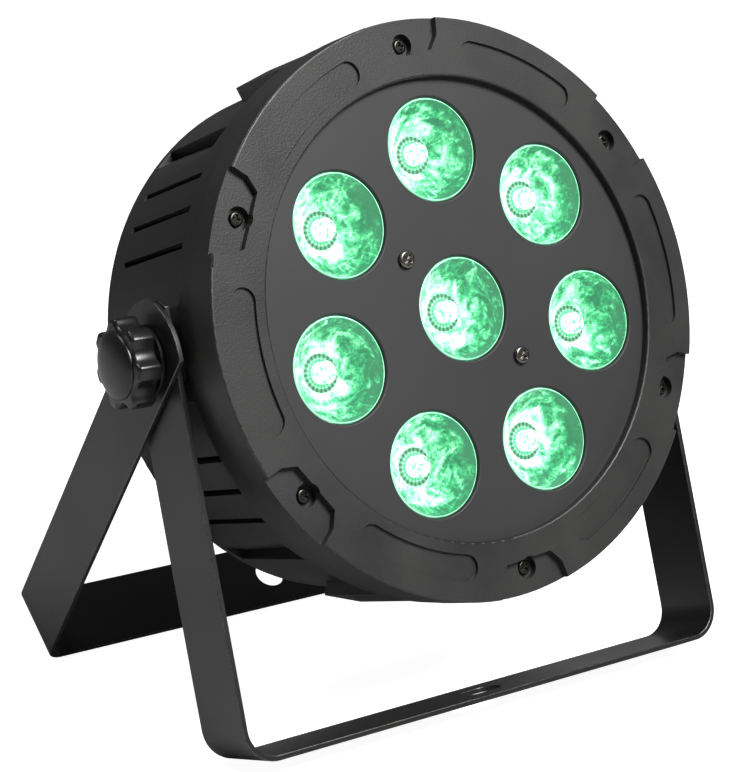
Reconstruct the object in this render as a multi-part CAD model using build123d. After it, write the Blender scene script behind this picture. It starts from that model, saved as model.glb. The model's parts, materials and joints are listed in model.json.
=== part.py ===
from build123d import *
import os
from math import acos, asin, atan2, cos, degrees, hypot, pi, radians, sin, sqrt

# A slim LED par can: a round head that hangs on two hoop brackets, held by a star knob each side.
# Millimetres. +Z is up, the light faces -Y, and +X is on the right of someone facing the light.
# The origin is on the floor, under the middle of the whole light's bounding box.
# The head is modelled lying flat: its axis is Z, depth counts backwards from the front plate's
# face, and 12 o'clock is +Y. Clock angles run clockwise as seen from the front.

# ---- overall sizes and pose
head_tilt = 17.4
pivot_depth = 36.2
front_lean = 18.5

# ---- lenses, which set the size of the head
aperture_radius = 20.0
ring_lens_count = 7
ring_lens_phase = -1.4
lens_spacing = 4.5
lens_flange = 2.6
holder_gap = 0.2
holder_wall = 1.4
plate_margin = 7.0

# ---- bezel ring
bezel_face_width = 22.5
bezel_front = 3.4
bezel_web = 4.4
skirt_depth = 11.0
skirt_wall = 2.8
bezel_round = 0.9
recess_floor = 0.6
step_gap = 0.4
recess_chord_inset = 13.2
recess_chord_half = 10.8
recess_waist_inset = 8.0
recess_waist_half = 15.0
recess_mouth_half = 16.8
pill_inset = 12.9
pill_width = 10.0
pill_half_angle = 12.8
pill_depth = 1.2
bezel_screw_count = 6
bezel_screw_inset = 9.6
bezel_screw_phase = -4.45
bezel_pill_phase = 25.55
counterbore_radius = 4.35
counterbore_floor = 2.2
screw_radius = 1.5
screw_head_radius = 2.8
screw_head_height = 1.6
screw_length = 11.0
plate_screw_length = 8.0
control_screw_length = 7.0
connector_screw_length = 4.0
sink_screw_length = 10.0
screw_clearance = 0.2
cross_width = 0.9
cross_depth = 0.9
cross_span = 1.2
pan_rounding = 0.55
screw_turn_step = 17

# ---- front plate
plate_thickness = 2.0
plate_rim = 4.0
aperture_chamfer = 0.5
plate_screw_radius = 31.0
plate_screw_clocks = (-47.2, 132.8)
plate_screw_head_radius = 3.4
plate_screw_head_height = 1.9

# ---- housing shell
wall = 2.5
band_setback = 0.3
band_end = 20.7
wall_setback = 5.0
wall_draft = 2.4
shell_end = 91.2
shelf_thickness = 3.0
shelf_overhang = 1.5
post_radius = 5.5
post_end = 24.0
vent_clocks = (52, 60, 68)
vent_width = 2.6
vent_start = 25.0
vent_end = 81.0
scoop_clock = 38.0
scoop_run = 8.5
scoop_depth = 4.8
scoop_start = 38.5
scoop_end = 87.0
scoop_rib_margin = 2.0
lug_clock = 24.5
lug_width = 17.0
lug_setback = 1.0
lug_end = 60.0
pad_half = 17.3
pad_rise = 0.9
pad_rear = 18.0
pad_root = 8.0
boss_wall = 2.5
boss_floor = 1.5
inner_pad_half = 8.4
inner_pad_rise = 2.5

# ---- light engine
board_face = 24.0
board_margin = 1.0
board_thickness = 1.6
emitter_size = 7.0
emitter_height = 1.2
dome_radius = 2.6
lens_flange_front = 2.3
lens_flange_thickness = 2.0
lens_step_gap = 0.4
lens_bulge = 2.0
lens_face = 0.7
lens_back_radius = 7.5
lens_back_gap = 1.5
lens_well_radius = 4.2
lens_well_depth = 7.0
holder_ledge = 1.6
holder_ledge_width = 2.2
standoff_radius = 3.2
sink_setback = 9.6
sink_base = 2.6
fin_gap = 4.0
fin_thickness = 1.8
fin_pitch = 9.0
sink_post_clocks = (20, 110, 200, 290)
sink_post_inset = 3.4
sink_post_size = 3.0
pillar_radius = 3.6

# ---- electronics
driver_width = 112.0
driver_height = 62.0
driver_thickness = 1.6
driver_hole_inset = 6.0
transformer_x = -26.0
transformer_width = 30.0
transformer_height = 26.0
transformer_depth = 14.0
winding_width = 20.0
winding_height = 32.0
winding_depth = 10.0
capacitor_radius = 6.0
capacitor_places = ((14, 10), (30, 10), (22, -8))
small_round = 0.8
control_width = 84.0
control_height = 40.0
control_centre = 27.0
control_clearance = 9.2
control_hole_inset = 5.0
display_margin = 4.0
display_depth = 5.0
component_height = 16.0
component_clearance = 1.5

# ---- rear cover and what is on it
cover_thickness = 3.0
cover_round = 1.4
cover_step = 0.6
cover_screw_count = 6
cover_screw_inset = 4.0
cover_post_radius = 5.2
cover_post_length = 26.0
grille_clocks = (66, 76, 86, 96, 106, 116)
grille_inset = 10.6
grille_length = 20.0
grille_width = 3.2
window_width = 46.0
window_height = 18.0
window_centre = 36.0
window_lip = 2.0
window_seat = 1.2
window_sunk = 0.2
window_corner = 1.5
fit_gap = 0.1
button_pitch = 15.0
button_row = 17.0
button_radius = 3.4
button_proud = 1.4
button_travel = 0.8
button_gap = 0.3
button_foot = 1.2
button_foot_depth = 1.6
button_stem_radius = 1.4
dmx_offset = 27.0
dmx_row = -20.0
dmx_hole_radius = 12.0
dmx_flange_width = 26.0
dmx_flange_height = 31.0
dmx_flange_thickness = 1.8
dmx_length = 20.0
dmx_cup_radius = 9.6
dmx_cup_depth = 14.0
dmx_pin_radius = 1.2
dmx_pin_circle = 5.6
dmx_screw_x = 9.5
dmx_screw_y = 12.0
dmx_corner = 2.5
dmx_pin_gap = 0.15
dmx_pin_sunk = 2.0
dmx_annulus = 1.2
latch_width = 6.0
latch_height = 4.4
latch_travel = 1.0
latch_proud = 2.0
latch_pocket = 1.6
latch_row = 12.0
key_gap = 0.3
inlet_x = 14.0
inlet_row = -62.0
inlet_width = 27.0
inlet_height = 20.0
inlet_flange = 3.5
inlet_flange_thickness = 2.0
inlet_length = 22.0
inlet_cup_depth = 16.0
inlet_cup_wall = 1.6
inlet_pin_pitch = 7.0
inlet_pin_drop = 4.0
inlet_pin_width = 2.0
inlet_pin_height = 4.0
inlet_pin_sunk = 3.0
fuse_x = -26.0
fuse_radius = 7.0
fuse_flange_radius = 9.0
fuse_flange_thickness = 2.0
fuse_length = 24.0
fuse_cap_radius = 6.0
fuse_cap_length = 16.0
fuse_cap_proud = 5.0
fuse_turn_gap = 0.08
fuse_cap_lip = 1.4
fuse_cap_gap = 0.3
coin_slot_width = 1.6
coin_slot_depth = 1.5
eye_inset = 20.6
eye_rod = 2.5
eye_radius = 9.0
eye_foot_radius = 6.5
eye_boss = 8.0
eye_foot_thickness = 3.0
eye_sunk = 2.0

# ---- brackets, pivots and knobs
sheet = 2.0
bracket_width = 31.0
bracket_clearance = 1.9
front_leg_clearance = 30.9
front_bend = 13.0
rear_leg_extra = 23.9
past = 1.0
rear_bend = 7.0
side_gap = 0.2
leg_crown_reach = 22.4
leg_corner_reach = 17.3
stud_radius = 4.0
stud_gap = 0.08
stud_tip_gap = 1.0
stud_grip = 10.0
slot_length = 19.0
slot_width = 12.6
hang_hole_radius = 6.5
spacer_radius = 13.0
insert_radius = 6.0
insert_length = 12.0
knob_washer_radius = 13.0
knob_washer_thickness = 1.4
knob_radius = 17.0
knob_lobes = 7
knob_valley_radius = 6.0
knob_valley_reach = 20.0
knob_hub_radius = 9.5
knob_hub_length = 2.0
knob_star_length = 9.4
knob_round = 1.4
knob_face_round = 1.2
knob_dome_radius = 12.6
knob_dome_height = 3.2

# ---- head sizes that follow
lens_flange_radius = aperture_radius + lens_flange
holder_radius = lens_flange_radius + holder_gap + holder_wall
ring_lens_radius = (holder_radius + lens_spacing / 2) / sin(pi / ring_lens_count)
bezel_inner_radius = ring_lens_radius + aperture_radius + plate_margin
bezel_radius = bezel_inner_radius + bezel_face_width
bezel_screw_radius = bezel_radius - bezel_screw_inset
pill_radius = bezel_radius - pill_inset
plate_radius = bezel_inner_radius + plate_rim
bezel_step_radius = plate_radius + step_gap
skirt_inner_radius = bezel_radius - skirt_wall
spigot_radius = skirt_inner_radius - step_gap
band_radius = bezel_radius - band_setback
wall_front_radius = bezel_radius - wall_setback
wall_rear_radius = wall_front_radius - wall_draft
wall_inner_radius = wall_rear_radius - wall
shelf_inner_radius = bezel_inner_radius - shelf_overhang
shelf_back = bezel_web + shelf_thickness
lug_radius = bezel_radius - lug_setback
pad_face = wall_front_radius + pad_rise
inner_pad_face = wall_front_radius + inner_pad_rise
board_radius = ring_lens_radius + holder_radius + board_margin
lens_back = board_face - lens_back_gap
lens_flange_back = lens_flange_front + lens_flange_thickness
board_back = board_face + board_thickness
sink_radius = wall_front_radius - wall - sink_setback
sink_post_radius = sink_radius - sink_post_inset
sink_back = board_back + sink_base
cover_end = shell_end + cover_thickness
cover_screw_radius = wall_inner_radius - cover_screw_inset
driver_back = cover_end - dmx_length - component_clearance - component_height
driver_face = driver_back - driver_thickness
control_face = shell_end - control_clearance
control_back = control_face + driver_thickness
grille_outer = cover_screw_radius - grille_inset
eye_row = cover_screw_radius - eye_inset

# ---- bracket and pivot sizes that follow
front_half_width = bezel_radius + bracket_clearance + sheet
rear_half_width = front_half_width + side_gap + sheet
front_reach = hypot(bezel_radius, pivot_depth + bezel_front)
rear_corner_reach = hypot(wall_rear_radius, cover_end - pivot_depth)
head_reach = max(front_reach, rear_corner_reach)
front_leg = head_reach + front_leg_clearance
rear_leg = front_leg + rear_leg_extra
half_bar = bracket_width / 2
pivot_height = front_leg * cos(radians(front_lean)) + half_bar * sin(radians(front_lean))
rear_lean = degrees(atan2(half_bar, rear_leg) + acos(pivot_height / hypot(rear_leg, half_bar)))
spacer_face = front_half_width - sheet - side_gap
knob_washer_face = rear_half_width + side_gap
knob_base = knob_washer_face + knob_washer_thickness
stud_tip = inner_pad_face - insert_length + stud_tip_gap
lens_places = [(0.0, 0.0)]
lens_places += [(ring_lens_phase + 360 / ring_lens_count * index, ring_lens_radius)
                for index in range(ring_lens_count)]
button_offsets = [button_pitch * (index - 1.5) for index in range(4)]


def slant_radius(depth):
    """Outer radius of the housing's drafted side wall at a depth."""
    share = (depth - band_end) / (shell_end - band_end)
    return wall_front_radius + share * (wall_rear_radius - wall_front_radius)


def turned(points):
    """Turn an outline of (radius, depth) points about the head's axis."""
    outline = Polyline(*[(radius, 0, depth) for radius, depth in points], close=True)
    return revolve(make_face(outline), Axis.Z, 360)


def tube(outer, inner, start, end):
    """A straight ring between two depths."""
    return Pos(0, 0, start) * extrude(Circle(outer) - Circle(inner), end - start)


def disc(radius, start, end):
    """A round bar or plate between two depths."""
    return Pos(0, 0, start) * extrude(Circle(radius), end - start)


def block(width, height, start, end):
    """A rectangular bar between two depths."""
    return Pos(0, 0, start) * extrude(Rectangle(width, height), end - start)


def rounded_block(width, height, corner, start, end):
    """A rectangular bar with round corners between two depths."""
    return Pos(0, 0, start) * extrude(RectangleRounded(width, height, corner), end - start)


def prism(points, start, end):
    """A bar with a polygon outline between two depths."""
    return Pos(0, 0, start) * extrude(make_face(Polyline(*points, close=True)), end - start)


def clock(angle, radius=0.0):
    """The place at a clock angle and a radius on the head's face."""
    return Rot(0, 0, angle) * Pos(0, radius, 0)


def cross_cut(width, length, depth, face):
    """Two crossed bars that cut a screwdriver recess down from a head's face."""
    bars = Rectangle(length, width) + Rectangle(width, length)
    return Pos(0, 0, face) * extrude(bars, depth)


def pan_screw(head_radius, head_height, shank_radius, length, face):
    """A cross-recess pan screw: its head's top is at face, and it runs to greater depths."""
    head = disc(head_radius, face, face + head_height)
    head = fillet(head.faces().sort_by(Axis.Z)[0].edges(), head_height * pan_rounding)
    shank = disc(shank_radius, face + head_height, face + head_height + length)
    return head + shank - cross_cut(cross_width, head_radius * cross_span, cross_depth, face)


def mirrored_screw(head_radius, head_height, shank_radius, length, face):
    """The same screw driven from behind: its head's top is at face, and it runs forwards."""
    return Pos(0, 0, face) * Rot(180, 0, 0) * pan_screw(head_radius, head_height, shank_radius, length, 0)


def bezel_screw_clocks():
    return [bezel_screw_phase + 360 / bezel_screw_count * index for index in range(bezel_screw_count)]


def make_bezel():
    """Moulded ring that clamps the plate's rim and slips over the housing's spigot."""
    ring = turned([
        (bezel_inner_radius, -bezel_front), (bezel_radius, -bezel_front), (bezel_radius, skirt_depth),
        (skirt_inner_radius, skirt_depth), (skirt_inner_radius, bezel_web), (bezel_step_radius, bezel_web),
        (bezel_step_radius, 0), (bezel_inner_radius, 0)])
    front_edges = ring.faces().sort_by(Axis.Z)[0].edges()
    ring = fillet(front_edges, bezel_round)
    chord = bezel_radius - recess_chord_inset
    waist = bezel_radius - recess_waist_inset
    mouth = bezel_radius + past
    recess = prism([
        (-recess_chord_half, chord), (recess_chord_half, chord), (recess_waist_half, waist),
        (recess_mouth_half, mouth), (-recess_mouth_half, mouth), (-recess_waist_half, waist)],
        -bezel_front - past, -recess_floor)
    for angle in bezel_screw_clocks():
        ring -= Rot(0, 0, angle) * recess
        ring -= clock(angle, bezel_screw_radius) * disc(counterbore_radius, -bezel_front, counterbore_floor)
        hole = disc(screw_radius + screw_clearance, -bezel_front, bezel_web + past)
        ring -= clock(angle, bezel_screw_radius) * hole
    pill = extrude(pill_outline(), pill_depth + past)
    for index in range(bezel_screw_count):
        angle = bezel_pill_phase + 360 / bezel_screw_count * index
        ring -= Rot(0, 0, angle) * Pos(0, 0, -bezel_front - past) * pill
    return ring


def pill_outline():
    """Outline of a shallow arc-shaped recess, centred on 12 o'clock."""
    half = radians(pill_half_angle)
    inner = pill_radius - pill_width / 2
    outer = pill_radius + pill_width / 2
    ends = [(sin(half) * radius, cos(half) * radius) for radius in (inner, outer)]
    tip_angle = half + pill_width / 2 / pill_radius
    tip = (sin(tip_angle) * pill_radius, cos(tip_angle) * pill_radius)
    (inner_x, inner_y), (outer_x, outer_y) = ends
    path = [
        ThreePointArc((-inner_x, inner_y), (0, inner), (inner_x, inner_y)),
        ThreePointArc((inner_x, inner_y), tip, (outer_x, outer_y)),
        ThreePointArc((outer_x, outer_y), (0, outer), (-outer_x, outer_y)),
        ThreePointArc((-outer_x, outer_y), (-tip[0], tip[1]), (-inner_x, inner_y))]
    return make_face(Curve() + path)


def side_signs():
    """The four quarters of the housing: right or left, upper or lower."""
    return [(side, upper) for side in (1, -1) for upper in (True, False)]


def quarter(angle, side, upper):
    """A clock angle measured from 12 o'clock, placed in one quarter."""
    return side * angle if upper else side * (180 - angle)


def make_housing():
    """Moulded shell: front shelf and spigot, band, drafted wall, vents, scoops, lugs and pivot pads."""
    shell = turned([
        (shelf_inner_radius, plate_thickness), (plate_radius, plate_thickness), (plate_radius, bezel_web),
        (spigot_radius, bezel_web), (spigot_radius, skirt_depth + step_gap),
        (band_radius, skirt_depth + step_gap),
        (band_radius, band_end), (wall_front_radius, band_end), (wall_rear_radius, shell_end),
        (wall_rear_radius - wall, shell_end), (wall_front_radius - wall, band_end),
        (wall_front_radius - wall, shelf_back), (shelf_inner_radius, shelf_back)])
    core = wall_core()
    for angle in bezel_screw_clocks():
        post = clock(angle, bezel_screw_radius) * disc(post_radius, shelf_back, post_end)
        shell += post & core
    for index in range(cover_screw_count):
        angle = 360 / cover_screw_count * (index + 0.5)
        place = clock(angle, cover_screw_radius)
        post = place * disc(cover_post_radius, shell_end - cover_post_length, shell_end)
        shell += post & core
    for angle in sink_post_clocks:
        shell += clock(angle, sink_post_radius) * disc(sink_post_size, shelf_back, board_back)
    for side, upper in side_signs():
        shell += scoop_backing(side, upper) & core
        shell += lug(side, upper)
    for side in (1, -1):
        shell += pivot_pad(side)
    for side, upper in side_signs():
        shell -= scoop_cut(side, upper)
        for angle in vent_clocks:
            shell -= vent_cut(quarter(angle, side, upper))
    for side in (1, -1):
        hole = disc(insert_radius, inner_pad_face - insert_length, inner_pad_face + past)
        shell -= pivot_place(side) * hole
    for angle in bezel_screw_clocks():
        hole_end = counterbore_floor + screw_length
        shell -= clock(angle, bezel_screw_radius) * disc(screw_radius, bezel_web - past, hole_end)
    for index in range(cover_screw_count):
        angle = 360 / cover_screw_count * (index + 0.5)
        hole_start = shell_end - screw_length
        shell -= clock(angle, cover_screw_radius) * disc(screw_radius, hole_start, shell_end + past)
    for angle in sink_post_clocks:
        hole_start = board_back - screw_length
        shell -= clock(angle, sink_post_radius) * disc(screw_radius, hole_start, board_back + past)
    return shell


def vent_cut(angle):
    """A straight slot through the side wall."""
    middle = (vent_start + vent_end) / 2
    slot = Box(vent_width, 6 * wall, vent_end - vent_start)
    return clock(angle, wall_front_radius) * Pos(0, 0, middle) * slot


def scoop_corner(angle, radius):
    return (-sin(radians(angle)) * radius, cos(radians(angle)) * radius)


def wall_core():
    """Everything inside the middle of the wall, which trims the ribs and posts to run into it."""
    return turned([
        (0, shelf_back), (wall_front_radius - wall / 2, shelf_back),
        (wall_front_radius - wall / 2, band_end), (wall_rear_radius - wall / 2, shell_end), (0, shell_end)])


def scoop_backing(side, upper):
    """Thick rib inside the wall that the scoop is cut into."""
    start = quarter(scoop_clock - scoop_rib_margin, side, upper)
    end = quarter(scoop_clock + scoop_run + scoop_rib_margin, side, upper)
    outer = wall_front_radius
    inner = wall_rear_radius - scoop_depth - wall
    corners = [scoop_corner(start, inner), scoop_corner(start, outer), scoop_corner(end, outer),
               scoop_corner(end, inner)]
    return prism(corners, scoop_start - wall, scoop_end + wall)


def scoop_cut(side, upper):
    """Wedge pocket: a radial wall at the sharp edge, and a floor that runs out along the wall."""
    start = quarter(scoop_clock, side, upper)
    end = quarter(scoop_clock + scoop_run, side, upper)
    low = slant_radius((scoop_start + scoop_end) / 2) - scoop_depth
    high = wall_front_radius + past
    corners = [scoop_corner(start, low), scoop_corner(start, high), scoop_corner(end, high)]
    return prism(corners, scoop_start, scoop_end)


def lug(side, upper):
    """Raised lug on the wall, behind the band."""
    half_angle = degrees(asin(lug_width / 2 / lug_radius))
    angle = quarter(lug_clock - half_angle, side, upper)
    base = wall_rear_radius - wall / 2
    bar = Pos(0, (base + lug_radius) / 2, 0) * block(
        lug_width, lug_radius - base, band_end - past, lug_end)
    return Rot(0, 0, angle) * bar


def pivot_place(side):
    """Frame at a pivot: its Z runs outwards along the pivot axis."""
    return Plane(origin=(0, 0, pivot_depth), x_dir=(0, 1, 0), z_dir=(side, 0, 0)).location


def pivot_pad(side):
    """Stepped pad and inner boss that carry one threaded insert."""
    base = wall_rear_radius - pad_root
    length = pivot_depth + pad_rear - band_end + past
    middle = band_end - past + length / 2
    wide = Pos(side * (base + pad_face) / 2, 0, middle) * Box(pad_face - base, 2 * pad_half, length)
    narrow = Pos(side * (base + inner_pad_face) / 2, 0, middle) * Box(
        inner_pad_face - base, 2 * inner_pad_half, length)
    floor = inner_pad_face - insert_length - boss_floor
    boss = pivot_place(side) * disc(insert_radius + boss_wall, floor, inner_pad_face)
    return wide + narrow + boss


def make_front_plate():
    """Flat plate with one chamfered window for each lens and two screw holes."""
    plate = disc(plate_radius, 0, plate_thickness)
    for angle, radius in lens_places:
        plate -= clock(angle, radius) * disc(aperture_radius, -past, plate_thickness + past)
        plate -= clock(angle, radius) * aperture_bevel()
    for angle in plate_screw_clocks:
        plate -= clock(angle, plate_screw_radius) * disc(
            screw_radius + screw_clearance, -past, plate_thickness + past)
    return plate


def aperture_bevel():
    """Cone that breaks the front edge of a lens window."""
    return Pos(0, 0, aperture_chamfer / 2) * Cone(
        aperture_radius + aperture_chamfer, aperture_radius, aperture_chamfer)


def make_lens():
    """Clear collimator: a stepped flange in the plate's window, a curved side and a well for the emitter."""
    step = aperture_radius - lens_step_gap
    middle = ((step + lens_back_radius) / 2 + lens_bulge, (lens_flange_back + lens_back) / 2)
    outline = [
        Polyline((0, lens_face), (step, lens_face), (step, lens_flange_front),
                 (lens_flange_radius, lens_flange_front), (lens_flange_radius, lens_flange_back),
                 (step, lens_flange_back)),
        ThreePointArc((step, lens_flange_back), middle, (lens_back_radius, lens_back)),
        Polyline((lens_back_radius, lens_back), (lens_well_radius, lens_back),
                 (lens_well_radius, lens_back - lens_well_depth), (0, lens_back - lens_well_depth),
                 (0, lens_face))]
    return revolve(Plane.XZ.location * make_face(Curve() + outline), Axis.Z, 360)


def make_lens_holder():
    """Black cup on the LED board, with a ledge under the lens's flange."""
    bore = lens_flange_radius + holder_gap
    cup = tube(holder_radius, bore, plate_thickness, board_face)
    ledge = tube(bore, bore - holder_ledge_width, lens_flange_back, lens_flange_back + holder_ledge)
    return cup + ledge


def make_emitters():
    """One emitter package with its dome under each lens."""
    package = block(emitter_size, emitter_size, board_face - emitter_height, board_face)
    dome = Pos(0, 0, board_face - emitter_height) * Sphere(dome_radius)
    front_face = board_face - emitter_height
    front_half = disc(2 * dome_radius, front_face - dome_radius, front_face)
    emitter = package + (dome & front_half)
    return [clock(angle, radius) * emitter for angle, radius in lens_places]


def make_led_board():
    """Aluminium-core board that carries the emitters and cups."""
    return disc(board_radius, board_face, board_back)


def driver_corners():
    return [(x * (driver_width / 2 - driver_hole_inset), y * (driver_height / 2 - driver_hole_inset))
            for x in (1, -1) for y in (1, -1)]


def make_heat_sink():
    """Cast sink behind the LED board, with upright fins and four pillars for the driver board."""
    sink = disc(sink_radius, board_back, sink_back)
    fin_end = driver_face - fin_gap
    reach = sink_post_radius - sink_post_size
    count = int(reach // fin_pitch)
    for index in range(-count, count + 1):
        offset = index * fin_pitch
        length = 2 * sqrt(reach * reach - offset * offset) - 2 * fin_gap
        sink += Pos(offset, 0, 0) * block(fin_thickness, length, sink_back, fin_end)
    for x, y in driver_corners():
        sink += Pos(x, y, 0) * disc(pillar_radius, sink_back, driver_face)
        sink -= Pos(x, y, 0) * disc(screw_radius, driver_back - screw_length, driver_face + past)
    for angle in sink_post_clocks:
        sink -= clock(angle, sink_post_radius) * disc(screw_radius, board_back - past, sink_back + past)
    return sink


def make_driver_board():
    """Power and LED driver board on the sink's pillars."""
    board = block(driver_width, driver_height, driver_face, driver_back)
    for x, y in driver_corners():
        board -= Pos(x, y, 0) * disc(screw_radius, driver_face - past, driver_back + past)
    return board


def make_transformer():
    """Wound core of the power supply."""
    core = block(transformer_width, transformer_height, driver_back, driver_back + transformer_depth)
    winding = Box(winding_width, winding_height, winding_depth)
    return Pos(transformer_x, 0, 0) * (core + Pos(0, 0, driver_back + transformer_depth / 2) * winding)


def make_capacitors():
    """Electrolytic cans of the power supply."""
    can = disc(capacitor_radius, driver_back, driver_back + component_height)
    can = fillet(can.faces().sort_by(Axis.Z)[-1].edges(), small_round)
    return [Pos(x, y, 0) * can for x, y in capacitor_places]


def control_corners():
    across = control_width / 2 - control_hole_inset
    up = control_height / 2 - control_hole_inset
    return [(x * across, control_centre + y * up) for x in (1, -1) for y in (1, -1)]


def make_control_board():
    """Menu and DMX board on the rear cover's pillars."""
    board = Pos(0, control_centre, 0) * block(control_width, control_height, control_face, control_back)
    for x, y in control_corners():
        board -= Pos(x, y, 0) * disc(screw_radius, control_face - past, control_back + past)
    return board


def make_display():
    """Four-digit display module on the control board."""
    module = block(window_width - 2 * display_margin, window_height - 2 * display_margin,
                   control_back, control_back + display_depth)
    return Pos(0, window_centre, 0) * module


def make_display_window():
    """Smoked window in a shallow seat on the rear cover."""
    face = cover_end - window_sunk
    pane = rounded_block(window_width, window_height, window_corner, face - window_seat, face)
    return Pos(0, window_centre, 0) * pane


def grille_slot(angle):
    """One radial slot of the rear grille."""
    middle = grille_outer - grille_length / 2
    slot = extrude(SlotOverall(grille_length, grille_width), cover_thickness + 2 * past)
    slot = Pos(0, 0, shell_end - past) * slot
    return clock(angle, middle) * Rot(0, 0, 90) * slot


def cover_screw_clocks():
    return [360 / cover_screw_count * (index + 0.5) for index in range(cover_screw_count)]


def cover_hole(radius):
    return disc(radius, shell_end - past, cover_end + past)


def make_rear_cover():
    """Moulded rear cover: window seat, key holes, connector cut-outs, grille and board pillars."""
    cover = disc(wall_rear_radius - cover_step, shell_end, cover_end)
    cover = fillet(cover.faces().sort_by(Axis.Z)[-1].edges(), cover_round)
    for x, y in control_corners():
        cover += Pos(x, y, 0) * disc(pillar_radius, control_back, shell_end)
        cover -= Pos(x, y, 0) * disc(screw_radius, control_back - past, shell_end - past)
    cover += Pos(0, eye_row, 0) * disc(eye_foot_radius, shell_end - eye_boss, shell_end)
    cover -= Pos(0, eye_row, 0) * disc(eye_rod, shell_end - eye_boss + past, cover_end + past)
    seat = rounded_block(window_width + 2 * fit_gap, window_height + 2 * fit_gap, window_corner + fit_gap,
                         cover_end - window_seat - window_sunk, cover_end + past)
    sight = block(window_width - 2 * window_lip, window_height - 2 * window_lip, shell_end - past, cover_end)
    cover -= Pos(0, window_centre, 0) * (seat + sight)
    for x in button_offsets:
        cover -= Pos(x, button_row, 0) * cover_hole(button_radius + button_gap)
    for x in (-dmx_offset, dmx_offset):
        cover -= Pos(x, dmx_row, 0) * cover_hole(dmx_hole_radius)
        for side in (1, -1):
            cover -= Pos(x + side * dmx_screw_x, dmx_row - side * dmx_screw_y, 0) * cover_hole(screw_radius)
    cover -= Pos(dmx_offset, dmx_row + latch_row, 0) * block(
        latch_width + 2 * key_gap, latch_height + 2 * key_gap, cover_end - latch_pocket, cover_end + past)
    cover -= Pos(inlet_x, inlet_row, 0) * block(
        inlet_width, inlet_height, shell_end - past, cover_end + past)
    cover -= Pos(fuse_x, inlet_row, 0) * cover_hole(fuse_radius)
    for side in (1, -1):
        for angle in grille_clocks:
            cover -= grille_slot(side * angle)
    for angle in cover_screw_clocks():
        cover -= clock(angle, cover_screw_radius) * cover_hole(screw_radius + screw_clearance)
        cover -= clock(angle, cover_screw_radius) * disc(
            screw_head_radius + step_gap, cover_end - screw_head_height, cover_end + past)
    return cover


def make_button():
    """Menu key: a cap through the cover with a wider foot behind it."""
    foot_front = shell_end - button_foot_depth
    foot = disc(button_radius + button_foot, foot_front, shell_end - button_gap)
    cap = disc(button_radius, foot_front, cover_end + button_proud)
    cap = fillet(cap.faces().sort_by(Axis.Z)[-1].edges(), small_round / 2)
    stem = disc(button_stem_radius, control_back + button_travel + button_gap, foot_front)
    return foot + cap + stem


def dmx_body():
    """Round connector barrel with its square flange on the cover."""
    barrel = disc(dmx_hole_radius, cover_end - dmx_length, cover_end)
    face = cover_end + dmx_flange_thickness
    flange = rounded_block(dmx_flange_width, dmx_flange_height, dmx_corner, cover_end, face)
    body = barrel + flange
    for side in (1, -1):
        hole = disc(screw_radius, cover_end - past, face + past)
        body -= Pos(side * dmx_screw_x, -side * dmx_screw_y, 0) * hole
    return body


def dmx_places(radius):
    """The three contact places of a connector."""
    return [Rot(0, 0, angle) * Pos(0, radius, 0) for angle in (0, 120, 240)]


def make_dmx_inlet():
    """Chassis connector with an open cup for the plug."""
    face = cover_end + dmx_flange_thickness
    body = dmx_body() - disc(dmx_cup_radius, face - dmx_cup_depth, face + past)
    return Pos(-dmx_offset, dmx_row, 0) * body


def make_dmx_pins():
    """The three pins on the floor of the inlet's cup."""
    face = cover_end + dmx_flange_thickness
    pin = disc(dmx_pin_radius, face - dmx_cup_depth, face - dmx_pin_sunk)
    pin = fillet(pin.faces().sort_by(Axis.Z)[-1].edges(), small_round)
    return [Pos(-dmx_offset, dmx_row, 0) * place * pin for place in dmx_places(dmx_pin_circle)]


def make_dmx_outlet():
    """Chassis connector with an annular gap, three sockets and a slot for its latch key."""
    face = cover_end + dmx_flange_thickness
    body = dmx_body() - tube(
        dmx_cup_radius, dmx_cup_radius - dmx_annulus, face - dmx_cup_depth, face + past)
    for place in dmx_places(dmx_pin_circle):
        body -= place * disc(dmx_pin_radius + dmx_pin_gap, face - dmx_cup_depth, face + past)
    body -= Pos(0, latch_row, 0) * block(
        latch_width + 2 * key_gap, latch_height + 2 * key_gap, cover_end - latch_pocket, face + past)
    return Pos(dmx_offset, dmx_row, 0) * body


def make_latch():
    """Release key at the top of the outlet."""
    base = cover_end - latch_pocket + latch_travel + key_gap
    key = block(latch_width, latch_height, base, cover_end + dmx_flange_thickness + latch_proud)
    key = fillet(key.faces().sort_by(Axis.Z)[-1].edges(), small_round)
    return Pos(dmx_offset, dmx_row + latch_row, 0) * key


def inlet_face():
    return cover_end + inlet_flange_thickness


def make_mains_inlet():
    """Appliance inlet: a rectangular cup with a flange on the cover."""
    body = block(inlet_width, inlet_height, cover_end - inlet_length, cover_end)
    flange = rounded_block(inlet_width + 2 * inlet_flange, inlet_height + 2 * inlet_flange,
                           inlet_flange / 2, cover_end, inlet_face())
    cup = block(inlet_width - 2 * inlet_cup_wall, inlet_height - 2 * inlet_cup_wall,
                inlet_face() - inlet_cup_depth, inlet_face() + past)
    return Pos(inlet_x, inlet_row, 0) * (body + flange - cup)


def make_mains_pins():
    """Three flat pins on the floor of the inlet's cup."""
    floor = inlet_face() - inlet_cup_depth
    pin = block(inlet_pin_width, inlet_pin_height, floor, inlet_face() - inlet_pin_sunk)
    half_drop = inlet_pin_drop / 2
    places = ((-inlet_pin_pitch, -half_drop), (0, half_drop), (inlet_pin_pitch, -half_drop))
    return [Pos(inlet_x + x, inlet_row + y, 0) * pin for x, y in places]


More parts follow.
